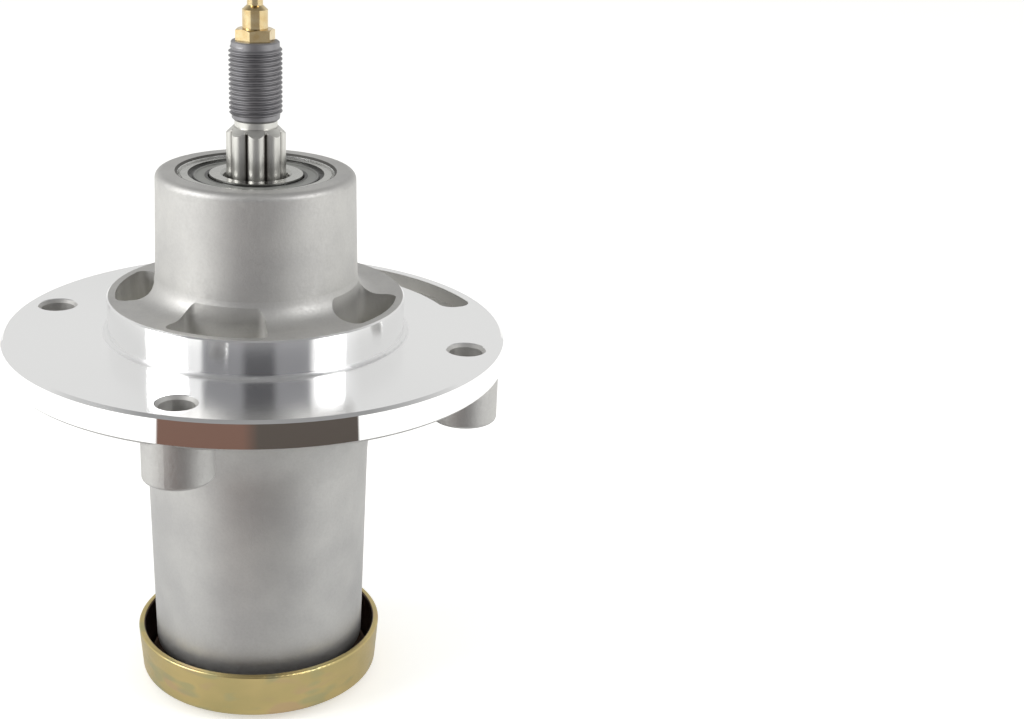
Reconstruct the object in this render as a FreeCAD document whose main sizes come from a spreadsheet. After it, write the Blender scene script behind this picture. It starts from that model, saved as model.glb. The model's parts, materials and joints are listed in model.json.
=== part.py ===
import FreeCAD, Part
import Sketcher
import math
import os
from FreeCAD import Placement, Rotation, Vector

# Mower blade spindle: a flanged cast housing with a splined shaft on two ball bearings.
# The shaft ends below in a round head with a five-point star that carries the blade.
# The origin is on the shaft axis at the face of the star, +Z up towards the pulley thread.

doc = FreeCAD.newDocument("blade_spindle")

# Driving sizes in millimetres and degrees: name, value, meaning
driving_sizes = [
    ("bolt_circle", 134.0, "circle of the mounting holes"),
    ("bolt_count", 4, "mounting holes"),
    ("bolt_hole", 10.3, "mounting hole"),
    ("bolt_hole_edge", 0.9, "bevel of each mounting hole at its boss"),
    ("bolt_hole_mouth", 1.1, "bevel of each mounting hole at the flange face"),
    ("bolt_turn", -19.4, "direction of the first mounting hole"),
    ("boss_diameter", 20.4, "boss behind each mounting hole"),
    ("boss_reach", 13.3, "boss below the flange underside"),
    ("boss_edge", 1.2, "round on each boss"),
    ("boss_margin", 0.1, "boss inside the flange rim"),
    ("clearance_width", 3.3, "wrench clearance cut round each boss"),
    ("clearance_floor", 2.3, "floor of that cut below the flange underside"),
    ("flange_thickness", 9.2, "flange at its rim"),
    ("flange_band", 2.8, "flat band under the flange rim"),
    ("flange_slope", 11.0, "rise of the flange underside towards the rim"),
    ("flange_edge", 0.9, "bevel on both rim edges"),
    ("pilot_diameter", 91.4, "turned step that centres in the deck"),
    ("pilot_height", 11.5, "step above the flange face"),
    ("pilot_edge", 0.5, "bevel on the step"),
    ("pilot_foot", 1.4, "round at the foot of the step"),
    ("neck_wall", 6.7, "casting round the upper bearing"),
    ("neck_draft", 1.0, "upper neck thicker at its foot"),
    ("neck_sweep", 0.48, "flare of the neck onto the step over the width of the step"),
    ("neck_edge", 2.2, "round on the neck top"),
    ("body_length", 107.7, "flange face down to the end of the lower body"),
    ("body_wall", 10.2, "casting round the lower bearing"),
    ("body_draft", 1.7, "lower body thicker at the flange"),
    ("body_flare", 30.0, "sweep of the lower body into the flange"),
    ("body_edge", 1.2, "round on the end of the lower body"),
    ("pocket_sweep", 44.0, "angle of each of the four cast pockets in the step"),
    ("pocket_shift", 1.7, "front pocket past the mounting hole in front of it"),
    ("pocket_lean", 8.0, "side pockets turned towards the front one"),
    ("pocket_start", 0.1, "pocket from the foot of the neck"),
    ("pocket_wall", 2.6, "wall between pocket and outside of the step"),
    ("pocket_depth", 12.5, "pocket below the top of the step"),
    ("pocket_rounding", 0.24, "round in the corners of a pocket over its width"),
    ("crescent_land", 47.0, "angle left by the crescent recess between two holes"),
    ("crescent_shift", 11.9, "crescent past the middle between two holes"),
    ("crescent_margin", 3.8, "crescent inside the flange rim"),
    ("crescent_width", 10.3, "width of the crescent recess"),
    ("crescent_depth", 4.6, "depth of the crescent recess"),
    ("crescent_rounding", 0.43, "round in the corners of that recess over its width"),
    ("ejector_mark", 5.0, "round ejector mark in the flange underside"),
    ("ejector_margin", 15.2, "middle of the mark inside the flange rim"),
    ("ejector_floor", 2.0, "floor of the mark below the flange underside"),
    ("ejector_shift", 28.7, "mark past the first mounting hole"),
    ("bearing_outside", 47.0, "outside of both bearings"),
    ("bearing_bore", 20.0, "bore of both bearings"),
    ("bearing_width", 14.0, "width of both bearings"),
    ("bearing_recess", 0.9, "bearing face below the end of the housing"),
    ("bearing_edge", 0.8, "bevel on the bearing rings"),
    ("seat_shoulder", 3.5, "step behind each bearing seat"),
    ("seat_mouth", 0.7, "bevel at both mouths of the housing"),
    ("inner_land", 2.65, "ball centres to the shoulder of the inner ring"),
    ("outer_land", 3.05, "ball centres to the shoulder of the outer ring"),
    ("ball_diameter", 7.938, "bearing ball"),
    ("ball_count", 8, "balls in each bearing"),
    ("ball_clearance", 0.14, "ball to track and to cage"),
    ("cage_width", 3.2, "radial width of the cage band"),
    ("cage_sheet", 0.6, "cage sheet"),
    ("rivet_diameter", 1.2, "cage rivet"),
    ("rivet_head", 2.0, "head of the cage rivet"),
    ("rivet_rise", 0.3, "height of that head"),
    ("seal_thickness", 1.1, "bearing seal"),
    ("seal_depth", 0.5, "seal below the bearing face"),
    ("seal_groove", 0.7, "seat of the seal in the outer ring"),
    ("seal_clearance", 0.3, "seal lip to the inner ring"),
    ("spacer_length", 128.2, "tube between the inner rings"),
    ("spacer_wall", 2.7, "wall of the tube"),
    ("spacer_clearance", 0.3, "tube to shaft"),
    ("spacer_port", 5.0, "grease port through the tube"),
    ("head_diameter", 53.8, "round head that the blade seats on"),
    ("head_thickness", 6.9, "head"),
    ("head_edge", 0.7, "bevel on the head"),
    ("seat_band", 8.75, "flat ring of the head outside the star recess"),
    ("recess_depth", 3.2, "depth of the star recess"),
    ("star_stand", 2.2, "star in front of the head"),
    ("star_points", 5, "points of the star"),
    ("star_point_width", 7.0, "width of each point"),
    ("star_gap", 3.1, "point to the wall of the recess"),
    ("star_turn", 30.0, "direction of the first point"),
    ("star_corner", 1.6, "round between the points and the middle of the star"),
    ("hub_wall", 1.6, "round middle of the star outside the bolt mouth"),
    ("shoulder_step", 0.6, "shaft shoulder inside the land of the lower inner ring"),
    ("journal_drop", 2.8, "top of the journal below the upper bearing face"),
    ("spline_step", 1.05, "spline crests below the journal"),
    ("spline_teeth", 8, "teeth of the pulley spline"),
    ("spline_crest", 2.75, "round of each crest"),
    ("spline_depth", 1.8, "depth of the spline"),
    ("spline_rise", 14.4, "top of the spline above the upper bearing face"),
    ("spline_edge", 2.0, "bevel on top of the spline"),
    ("thread_diameter", 15.875, "pulley nut thread"),
    ("thread_length", 23.7, "threaded end with its bevels"),
    ("thread_bevel", 1.5, "bevel where the thread starts"),
    ("thread_tip_bevel", 1.1, "bevel on the tip of the thread"),
    ("undercut_depth", 1.5, "neck between spline and thread"),
    ("undercut_length", 1.9, "length of that neck"),
    ("bolt_thread", 11.3, "threaded hole for the blade bolt"),
    ("bolt_thread_depth", 32.0, "depth of that hole"),
    ("bolt_mouth_edge", 1.85, "countersink of that hole"),
    ("grease_drill", 3.5, "grease drilling"),
    ("grease_drill_end", 3.5, "that drilling past the cross drilling"),
    ("cross_drill", 3.0, "cross drilling into the spacer"),
    ("shank_runout", 2.0, "taper from the fitting's hole to the drilling"),
    ("cup_wall", 2.1, "sheet of the dust cup"),
    ("cup_height", 15.1, "dust cup over all"),
    ("cup_side_gap", 3.8, "dust cup to the lower body"),
    ("cup_hole_gap", 1.5, "dust cup to the head"),
    ("cup_end_gap", 1.1, "dust cup to the end of the housing"),
    ("cup_drop", 6.7, "cup floor below the top of the head"),
    ("cup_draft", 1.2, "cup wider at its rim"),
    ("cup_bend", 1.8, "outside of the bends"),
    ("cup_inner_bend", 1.1, "inside of the bends"),
    ("cup_rim_round", 0.7, "round on the rim"),
    ("fitting_shank", 9.6, "threaded shank of the grease fitting"),
    ("fitting_shank_length", 7.5, "length of that shank"),
    ("fitting_hex", 10.4, "across the flats of the fitting"),
    ("fitting_hex_height", 3.5, "hexagon"),
    ("fitting_hex_turn", 14.0, "turn of the hexagon on the shaft"),
    ("fitting_barrel", 7.6, "round body above the hexagon"),
    ("fitting_barrel_height", 6.9, "length of that body with its shoulder"),
    ("fitting_shoulder", 1.3, "slope of that shoulder"),
    ("fitting_neck", 4.7, "neck under the nipple"),
    ("fitting_neck_height", 2.1, "length of that neck"),
    ("nipple_lip", 0.95, "nipple outside its neck"),
    ("nipple_flank", 1.1, "cone under the nipple"),
    ("nipple_land", 1.0, "straight part of the nipple"),
    ("nipple_dome", 1.7, "cone on top of the nipple"),
    ("nipple_rim", 1.4, "flat rim round the mouth"),
    ("fitting_bevel", 0.7, "bevels on the fitting"),
    ("fitting_bore", 3.0, "chamber of the check ball and its spring"),
    ("fitting_mouth", 1.8, "mouth over the check ball and grease way below the spring"),
    ("mouth_land", 0.3, "straight part of the mouth"),
    ("spring_room", 11.0, "chamber below the top of the nipple"),
    ("check_play", 0.3, "check ball to the wall of the chamber"),
    ("spring_wire", 0.36, "check spring wire"),
    ("spring_turns", 7, "turns of the check spring"),
    ("small_gap", 0.06, "gap that keeps the loose check pieces free"),
]

# Sizes and levels worked out from those: name, formula
worked_sizes = [
    ("flange_radius", "(sizes.bolt_circle + sizes.boss_diameter) / 2 + sizes.boss_margin"),
    ("pilot_radius", "sizes.pilot_diameter / 2"),
    ("neck_radius", "sizes.bearing_outside / 2 + sizes.neck_wall"),
    ("neck_foot_radius", "neck_radius + sizes.neck_draft"),
    ("body_radius", "sizes.bearing_outside / 2 + sizes.body_wall"),
    ("body_root_radius", "body_radius + sizes.body_draft"),
    ("core_radius", "sizes.bearing_outside / 2 - sizes.seat_shoulder"),
    ("neck_flare", "(pilot_radius - neck_foot_radius) * sizes.neck_sweep"),
    ("pocket_near", "neck_foot_radius + sizes.pocket_start"),
    ("pocket_far", "pilot_radius - sizes.pocket_wall"),
    ("pocket_turn", "sizes.bolt_turn - 360 / sizes.bolt_count + sizes.pocket_shift"),
    ("pocket_corner", "(pocket_far - pocket_near) * sizes.pocket_rounding"),
    ("crescent_far", "flange_radius - sizes.crescent_margin"),
    ("crescent_near", "crescent_far - sizes.crescent_width"),
    ("crescent_corner", "sizes.crescent_width * sizes.crescent_rounding"),
    ("crescent_sweep", "360 / sizes.bolt_count - sizes.crescent_land"),
    ("crescent_turn", "sizes.bolt_turn + 180 / sizes.bolt_count + sizes.crescent_shift"),
    ("ejector_turn", "sizes.bolt_turn + sizes.ejector_shift"),
    ("ball_circle", "(sizes.bearing_outside + sizes.bearing_bore) / 2"),
    ("inner_ring_radius", "ball_circle / 2 - sizes.inner_land"),
    ("outer_ring_radius", "ball_circle / 2 + sizes.outer_land"),
    ("shoulder_radius", "inner_ring_radius - sizes.shoulder_step"),
    ("spacer_inside", "sizes.bearing_bore / 2 + sizes.spacer_clearance"),
    ("spline_radius", "sizes.bearing_bore / 2 - sizes.spline_step"),
    ("spline_core", "spline_radius - sizes.spline_depth"),
    ("recess_radius", "sizes.head_diameter / 2 - sizes.seat_band"),
    ("star_reach", "recess_radius - sizes.star_gap - sizes.star_point_width / 2"),
    ("bolt_mouth_radius", "sizes.bolt_thread / 2 + sizes.bolt_mouth_edge"),
    ("hub_radius", "bolt_mouth_radius + sizes.hub_wall"),
    ("cup_radius", "body_radius + sizes.cup_side_gap + sizes.cup_wall"),
    ("cup_foot_radius", "cup_radius - sizes.cup_draft"),
    ("cup_step_radius", "sizes.head_diameter / 2 + sizes.cup_hole_gap"),
    ("check_ball_radius", "sizes.fitting_bore / 2 - sizes.check_play"),
    ("head_face", "sizes.star_stand"),
    ("recess_floor", "head_face + sizes.recess_depth"),
    ("head_top", "head_face + sizes.head_thickness"),
    ("cup_web_top", "head_top + sizes.cup_wall"),
    ("cup_floor", "head_top - sizes.cup_drop"),
    ("cup_rim", "cup_floor + sizes.cup_height"),
    ("housing_end", "cup_web_top + sizes.cup_end_gap"),
    ("lower_bearing", "housing_end + sizes.bearing_recess"),
    ("spacer_base", "lower_bearing + sizes.bearing_width"),
    ("spacer_middle", "spacer_base + sizes.spacer_length / 2"),
    ("upper_bearing", "spacer_base + sizes.spacer_length"),
    ("upper_face", "upper_bearing + sizes.bearing_width"),
    ("neck_top", "upper_face + sizes.bearing_recess"),
    ("flange_face", "housing_end + sizes.body_length"),
    ("flange_under", "flange_face - sizes.flange_thickness"),
    ("flange_root", "flange_under - (flange_radius - sizes.flange_band - body_root_radius)"
                    " * tan(sizes.flange_slope * 1 deg)"),
    ("boss_end", "flange_under - sizes.boss_reach"),
    ("pilot_top", "flange_face + sizes.pilot_height"),
    ("pocket_floor", "pilot_top - sizes.pocket_depth"),
    ("crescent_floor", "flange_face - sizes.crescent_depth"),
    ("journal_top", "upper_face - sizes.journal_drop"),
    ("spline_top", "upper_face + sizes.spline_rise"),
    ("undercut_top", "spline_top + sizes.undercut_length"),
    ("shaft_top", "undercut_top + sizes.thread_length"),
    ("shank_end", "shaft_top - sizes.fitting_shank_length"),
    ("hex_top", "shaft_top + sizes.fitting_hex_height"),
    ("barrel_top", "hex_top + sizes.fitting_barrel_height"),
    ("nipple_base", "barrel_top + sizes.fitting_neck_height"),
    ("nipple_bottom", "nipple_base + sizes.nipple_flank"),
    ("nipple_shoulder", "nipple_bottom + sizes.nipple_land"),
    ("nipple_top", "nipple_shoulder + sizes.nipple_dome"),
    ("chamber_top", "nipple_top - sizes.mouth_land - (sizes.fitting_bore - sizes.fitting_mouth) / 2"),
    ("chamber_floor", "nipple_top - sizes.spring_room"),
    ("check_ball_place", "nipple_top - sizes.mouth_land + sizes.fitting_mouth / 2"
                         " - sqrt(2) * (check_ball_radius + sizes.small_gap)"),
]


def fill_sheet(name, rows, prefix=""):
    sheet = doc.addObject("Spreadsheet::Sheet", name)
    for number, row in enumerate(rows, start=1):
        sheet.set("A%d" % number, row[0])
        sheet.set("B%d" % number, prefix + str(row[1]))
        sheet.setAlias("B%d" % number, row[0])
        if len(row) > 2:
            sheet.set("C%d" % number, row[2])
    doc.recompute()
    return sheet


sizes = fill_sheet("sizes", driving_sizes)
worked = fill_sheet("worked", worked_sizes, "=")


def size(name):
    return float(sizes.get(name))


def place(name):
    return float(worked.get(name))


# Bodies, sketches and features

def new_body(name):
    body = doc.addObject("PartDesign::Body", name)
    body.Label = name
    return body


def new_sketch(body, name, plane="XZ_Plane", lift=None, turn=None):
    sketch = body.newObject("Sketcher::SketchObject", name)
    planes = [part for part in body.Origin.OriginFeatures if part.Role == plane]
    sketch.AttachmentSupport = [(planes[0], "")]
    sketch.MapMode = "FlatFace"
    if turn:
        upright = Vector(0, 1, 0) if plane == "XZ_Plane" else Vector(0, 0, 1)
        sketch.AttachmentOffset = Placement(Vector(0, 0, 0), Rotation(upright, 1.0))
        sketch.setExpression("AttachmentOffset.Rotation.Angle", turn)
    if lift:
        sketch.setExpression("AttachmentOffset.Base.z", lift)
    return sketch


def pin_point(sketch, line, end, across, up):
    for kind, formula, axis in (("DistanceX", across, -2), ("DistanceY", up, -1)):
        if formula == "0":
            sketch.addConstraint(Sketcher.Constraint("PointOnObject", line, end, axis))
        else:
            number = sketch.addConstraint(Sketcher.Constraint(kind, -1, 1, line, end, 1.0))
            sketch.setExpression("Constraints[%d]" % number, formula)


def draw_outline(sketch, corners):
    count = len(corners)
    rough = []
    for step in range(count):
        angle = 2 * math.pi * step / count
        rough.append(Vector(20 + 10 * math.cos(angle), 20 + 10 * math.sin(angle), 0))
    for step in range(count):
        sketch.addGeometry(Part.LineSegment(rough[step], rough[(step + 1) % count]), False)
    for step in range(count):
        after = (step + 1) % count
        sketch.addConstraint(Sketcher.Constraint("Coincident", step, 2, after, 1))
    for step, (across, up) in enumerate(corners):
        pin_point(sketch, step, 1, across, up)
    doc.recompute()
    return sketch


def draw_circle(sketch, radius, across="0", up="0"):
    circle = sketch.addGeometry(Part.Circle(Vector(10, 10, 0), Vector(0, 0, 1), 5), False)
    pin_point(sketch, circle, 3, across, up)
    number = sketch.addConstraint(Sketcher.Constraint("Radius", circle, 5.0))
    sketch.setExpression("Constraints[%d]" % number, radius)
    doc.recompute()
    return sketch


def feature(body, kind, name, sketch, **settings):
    made = body.newObject("PartDesign::" + kind, name)
    made.Profile = sketch
    for key, setting in settings.items():
        if isinstance(setting, str):
            made.setExpression(key, setting)
        else:
            setattr(made, key, setting)
    sketch.Visibility = False
    doc.recompute()
    return made


def turned(body, kind, name, corners):
    sketch = draw_outline(new_sketch(body, name + "_outline"), corners)
    return feature(body, kind, name, sketch, ReferenceAxis=(sketch, ["V_Axis"]), Angle=360.0)


def around(body, name, original, axis, count):
    pattern = body.newObject("PartDesign::PolarPattern", name)
    pattern.Originals = [original]
    pattern.Axis = axis
    pattern.Angle = 360
    pattern.setExpression("Occurrences", count)
    body.Tip = pattern
    doc.recompute()
    return pattern


def repeated_round(body, kind, name, lift, turn, reach, radius, length, count):
    sketch = new_sketch(body, name + "_outline", "XY_Plane", lift, turn)
    draw_circle(sketch, radius, reach)
    first = feature(body, kind, name, sketch, Length=length)
    return around(body, name + "_ring", first, (sketch, ["N_Axis"]), count)


def centred_round(body, kind, name, lift, radius, length):
    sketch = new_sketch(body, name + "_outline", "XY_Plane", lift)
    draw_circle(sketch, radius)
    return feature(body, kind, name, sketch, Length=length)


def is_rim(radius, height):
    def wanted(edge):
        if not isinstance(edge.Curve, Part.Circle):
            return False
        middle = edge.Curve.Center
        return abs(edge.Curve.Radius - radius) < 0.01 and abs(middle.z - height) < 0.01
    return wanted


def is_upright(radii, low, high):
    def wanted(edge):
        if not isinstance(edge.Curve, Part.Line) or len(edge.Vertexes) < 2:
            return False
        first, last = edge.Vertexes[0].Point, edge.Vertexes[-1].Point
        if math.hypot(first.x - last.x, first.y - last.y) > 0.01:
            return False
        if min(first.z, last.z) < low - 0.01 or max(first.z, last.z) > high + 0.01:
            return False
        reach = math.hypot(first.x, first.y)
        return any(abs(reach - radius) < 0.01 for radius in radii)
    return wanted


def dress(body, kind, name, wanted, amount):
    tip = body.Tip
    names = []
    for number, edge in enumerate(tip.Shape.Edges, start=1):
        if any(test(edge) for test in wanted):
            names.append("Edge%d" % number)
    if not names:
        raise RuntimeError("no edges for %s" % name)
    made = body.newObject("PartDesign::" + kind, name)
    made.Base = (tip, names)
    made.setExpression("Radius" if kind == "Fillet" else "Size", amount)
    body.Tip = made
    doc.recompute()
    return made


# Cast housing with its turned flange and pilot step

def make_housing():
    body = new_body("housing")
    turned(body, "Revolution", "casting", [
        ("worked.core_radius", "worked.housing_end"),
        ("worked.body_radius", "worked.housing_end"),
        ("worked.body_root_radius", "worked.flange_root"),
        ("worked.flange_radius - sizes.flange_band", "worked.flange_under"),
        ("worked.flange_radius", "worked.flange_under"),
        ("worked.flange_radius", "worked.flange_face"),
        ("worked.pilot_radius", "worked.flange_face"),
        ("worked.pilot_radius", "worked.pilot_top"),
        ("worked.neck_foot_radius", "worked.pilot_top"),
        ("worked.neck_radius", "worked.neck_top"),
        ("worked.core_radius", "worked.neck_top"),
    ])
    dress(body, "Fillet", "body_flare", [is_rim(place("body_root_radius"), place("flange_root"))],
          "sizes.body_flare")
    dress(body, "Fillet", "neck_flare", [is_rim(place("neck_foot_radius"), place("pilot_top"))],
          "worked.neck_flare")
    dress(body, "Fillet", "neck_round", [is_rim(place("neck_radius"), place("neck_top"))],
          "sizes.neck_edge")
    dress(body, "Fillet", "body_round", [is_rim(place("body_radius"), place("housing_end"))],
          "sizes.body_edge")
    dress(body, "Chamfer", "flange_bevel",
          [is_rim(place("flange_radius"), place("flange_face")),
           is_rim(place("flange_radius"), place("flange_under"))], "sizes.flange_edge")
    dress(body, "Chamfer", "pilot_bevel", [is_rim(place("pilot_radius"), place("pilot_top"))],
          "sizes.pilot_edge")
    dress(body, "Fillet", "pilot_round", [is_rim(place("pilot_radius"), place("flange_face"))],
          "sizes.pilot_foot")
    cut_bearing_seat(body, "lower_seat", "worked.housing_end", "+")
    cut_bearing_seat(body, "upper_seat", "worked.neck_top", "-")
    cut_pockets(body)
    cut_crescent(body)
    add_bolt_bosses(body)
    return body


def cut_bearing_seat(body, name, mouth, inward):
    floor = mouth + inward + "(sizes.bearing_width + sizes.bearing_recess)"
    turned(body, "Groove", name, [
        ("0", mouth),
        ("sizes.bearing_outside / 2 + sizes.seat_mouth", mouth),
        ("sizes.bearing_outside / 2", mouth + inward + "sizes.seat_mouth"),
        ("sizes.bearing_outside / 2", floor),
        ("0", floor),
    ])


def cut_sector(body, name, near, far, floor, top, sweep, turn):
    sketch = new_sketch(body, name + "_outline", turn=turn)
    draw_outline(sketch, [(near, floor), (far, floor), (far, top), (near, top)])
    return feature(body, "Groove", name, sketch, ReferenceAxis=(sketch, ["V_Axis"]), Midplane=True,
                   Angle=sweep)


def cut_pockets(body):
    for side, past in (("front", "0"), ("right", "90 - sizes.pocket_lean"),
                       ("left", "sizes.pocket_lean - 90"), ("back", "180")):
        cut_sector(body, side + "_pocket", "worked.pocket_near", "worked.pocket_far",
                   "worked.pocket_floor", "worked.pilot_top + worked.neck_flare",
                   "sizes.pocket_sweep", "worked.pocket_turn + " + past)
    corners = is_upright((place("pocket_near"), place("pocket_far")), place("pocket_floor"),
                         place("neck_top"))
    dress(body, "Fillet", "pocket_corners", [corners], "worked.pocket_corner")


def cut_crescent(body):
    cut_sector(body, "crescent", "worked.crescent_near", "worked.crescent_far",
               "worked.crescent_floor", "worked.pilot_top", "worked.crescent_sweep",
               "worked.crescent_turn")
    corners = is_upright((place("crescent_near"), place("crescent_far")), place("crescent_floor"),
                         place("flange_face"))
    dress(body, "Fillet", "crescent_corners", [corners], "worked.crescent_corner")


def add_bolt_bosses(body):
    reach, turn, count = "sizes.bolt_circle / 2", "sizes.bolt_turn", "sizes.bolt_count"
    repeated_round(body, "Pocket", "clearance", "worked.flange_under - sizes.clearance_floor", turn,
                   reach, "sizes.boss_diameter / 2 + sizes.clearance_width", "sizes.body_length", count)
    repeated_round(body, "Pad", "boss", "worked.boss_end", turn, reach, "sizes.boss_diameter / 2",
                   "sizes.boss_reach + sizes.flange_thickness / 2", count)
    dress(body, "Fillet", "boss_round", [is_rim(size("boss_diameter") / 2, place("boss_end"))],
          "sizes.boss_edge")
    repeated_round(body, "Pocket", "bolt_hole", "worked.flange_face", turn, reach,
                   "sizes.bolt_hole / 2", "sizes.flange_thickness + sizes.boss_reach", count)
    dress(body, "Chamfer", "bolt_hole_bevel", [is_rim(size("bolt_hole") / 2, place("boss_end"))],
          "sizes.bolt_hole_edge")
    dress(body, "Chamfer", "bolt_hole_countersink", [is_rim(size("bolt_hole") / 2, place("flange_face"))],
          "sizes.bolt_hole_mouth")
    mark = new_sketch(body, "ejector_outline", "XY_Plane",
                      "worked.flange_under - sizes.ejector_floor", "worked.ejector_turn")
    draw_circle(mark, "sizes.ejector_mark / 2", "worked.flange_radius - sizes.ejector_margin")
    feature(body, "Pocket", "ejector", mark, Length="sizes.body_flare / 2")


# Forged spindle shaft with its head, star, spline and thread

def make_shaft():
    body = new_body("spindle_shaft")
    thread = "sizes.thread_diameter / 2"
    undercut = thread + " - sizes.undercut_depth"
    turned(body, "Revolution", "shaft", [
        ("0", "worked.head_face"),
        ("sizes.head_diameter / 2", "worked.head_face"),
        ("sizes.head_diameter / 2", "worked.head_top"),
        ("worked.shoulder_radius", "worked.head_top"),
        ("worked.shoulder_radius", "worked.lower_bearing"),
        ("sizes.bearing_bore / 2", "worked.lower_bearing"),
        ("sizes.bearing_bore / 2", "worked.journal_top"),
        ("worked.spline_core", "worked.journal_top"),
        ("worked.spline_core", "worked.spline_top"),
        (undercut, "worked.spline_top"),
        (undercut, "worked.undercut_top"),
        (thread, "worked.undercut_top + sizes.thread_bevel"),
        (thread, "worked.shaft_top - sizes.thread_tip_bevel"),
        (thread + " - sizes.thread_tip_bevel", "worked.shaft_top"),
        ("0", "worked.shaft_top"),
    ])
    dress(body, "Chamfer", "head_bevel",
          [is_rim(size("head_diameter") / 2, place("head_face")),
           is_rim(size("head_diameter") / 2, place("head_top"))], "sizes.head_edge")
    add_spline(body)
    add_star(body)
    drill_shaft(body)
    return body


def add_spline(body):
    repeated_round(body, "Pad", "tooth", "worked.journal_top", None,
                   "worked.spline_radius - sizes.spline_crest", "sizes.spline_crest",
                   "worked.spline_top - worked.journal_top", "sizes.spline_teeth")
    outside = "worked.spline_radius"
    turned(body, "Groove", "spline_bevel", [
        (outside + " - sizes.spline_edge", "worked.spline_top"),
        (outside + " + sizes.spline_edge", "worked.spline_top - 2 * sizes.spline_edge"),
        (outside + " + sizes.spline_edge", "worked.spline_top"),
    ])


def add_star(body):
    half = "sizes.star_point_width / 2"
    centred_round(body, "Pocket", "recess", "worked.recess_floor", "worked.recess_radius",
                  "sizes.recess_depth")
    centred_round(body, "Pad", "hub", None, "worked.hub_radius", "worked.recess_floor")
    arm = new_sketch(body, "arm_outline", "XY_Plane", turn="sizes.star_turn")
    draw_outline(arm, [("0", "-" + half), ("worked.star_reach", "-" + half),
                       ("worked.star_reach", half), ("0", half)])
    first = feature(body, "Pad", "arm", arm, Length="worked.recess_floor")
    around(body, "arms", first, (arm, ["N_Axis"]), "sizes.star_points")
    repeated_round(body, "Pad", "arm_end", None, "sizes.star_turn", "worked.star_reach", half,
                   "worked.recess_floor", "sizes.star_points")
    corners = is_upright((place("hub_radius"),), 0, place("recess_floor"))
    dress(body, "Fillet", "star_corners", [corners], "sizes.star_corner")


def drill_shaft(body):
    thread = "sizes.bolt_thread / 2"
    turned(body, "Groove", "blade_bolt_hole", [
        ("0", "0"),
        ("worked.bolt_mouth_radius", "0"),
        (thread, "sizes.bolt_mouth_edge"),
        (thread, "sizes.bolt_thread_depth"),
        ("0", "sizes.bolt_thread_depth + " + thread),
    ])
    drill = "sizes.grease_drill / 2"
    drill_end = "worked.spacer_middle - sizes.grease_drill_end"
    shank = "sizes.fitting_shank / 2"
    turned(body, "Groove", "grease_way", [
        ("0", drill_end),
        (drill, drill_end),
        (drill, "worked.shank_end - sizes.shank_runout"),
        (shank, "worked.shank_end"),
        (shank, "worked.shaft_top"),
        ("0", "worked.shaft_top"),
    ])
    cross = new_sketch(body, "cross_drill_outline")
    draw_circle(cross, "sizes.cross_drill / 2", "0", "worked.spacer_middle")
    feature(body, "Pocket", "cross_drill", cross, Midplane=True, Length="2 * sizes.bearing_bore")


# Tube between the inner rings

def make_spacer():
    body = new_body("bearing_spacer")
    outside = "worked.spacer_inside + sizes.spacer_wall"
    turned(body, "Revolution", "tube", [
        ("worked.spacer_inside", "worked.spacer_base"),
        (outside, "worked.spacer_base"),
        (outside, "worked.upper_bearing"),
        ("worked.spacer_inside", "worked.upper_bearing"),
    ])
    port = new_sketch(body, "port_outline")
    draw_circle(port, "sizes.spacer_port / 2", "0", "worked.spacer_middle")
    feature(body, "Pocket", "port", port, Midplane=True, Length="2 * sizes.bearing_outside")
    return body


# Pressed dust cup, gripped between the head and the lower inner ring

def make_cup():
    body = new_body("dust_cup")
    step_back = "worked.cup_step_radius + sizes.cup_wall"
    floor_back = "worked.cup_floor + sizes.cup_wall"
    turned(body, "Revolution", "pressing", [
        ("worked.shoulder_radius", "worked.head_top"),
        ("worked.cup_step_radius", "worked.head_top"),
        ("worked.cup_step_radius", "worked.cup_floor"),
        ("worked.cup_foot_radius", "worked.cup_floor"),
        ("worked.cup_radius", "worked.cup_rim"),
        ("worked.cup_radius - sizes.cup_wall", "worked.cup_rim"),
        ("worked.cup_foot_radius - sizes.cup_wall", floor_back),
        (step_back, floor_back),
        (step_back, "worked.cup_web_top"),
        ("worked.shoulder_radius", "worked.cup_web_top"),
    ])
    outer, foot, step = place("cup_radius"), place("cup_foot_radius"), place("cup_step_radius")
    back = step + size("cup_wall")
    floor_top = place("cup_floor") + size("cup_wall")
    dress(body, "Fillet", "outside_bend",
          [is_rim(foot, place("cup_floor")), is_rim(back, place("cup_web_top"))], "sizes.cup_bend")
    dress(body, "Fillet", "inside_bend",
          [is_rim(foot - size("cup_wall"), floor_top), is_rim(step, place("cup_floor")),
           is_rim(back, floor_top)], "sizes.cup_inner_bend")
    dress(body, "Fillet", "rolled_rim",
          [is_rim(outer, place("cup_rim")), is_rim(outer - size("cup_wall"), place("cup_rim"))],
          "sizes.cup_rim_round")
    return body


# Sealed ball bearings, each drawn standing on its lower face

def make_ring(name, base, near, far, bevelled):
    body = new_body(name)
    turned(body, "Revolution", "ring", [
        (near, "0"),
        (far, "0"),
        (far, "sizes.bearing_width"),
        (near, "sizes.bearing_width"),
    ])
    sketch = new_sketch(body, "track_outline")
    draw_circle(sketch, "sizes.ball_diameter / 2 + sizes.ball_clearance", "worked.ball_circle / 2",
                "sizes.bearing_width / 2")
    feature(body, "Groove", "track", sketch, ReferenceAxis=(sketch, ["V_Axis"]), Angle=360.0)
    dress(body, "Chamfer", "bevel", [is_rim(bevelled, 0), is_rim(bevelled, size("bearing_width"))],
          "sizes.bearing_edge")
    body.setExpression("Placement.Base.z", base)
    return body


def cut_seal_seat(body, name, face, floor):
    seat = "worked.outer_ring_radius + sizes.seal_groove"
    turned(body, "Groove", name, [("0", face), (seat, face), (seat, floor), ("0", floor)])


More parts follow.
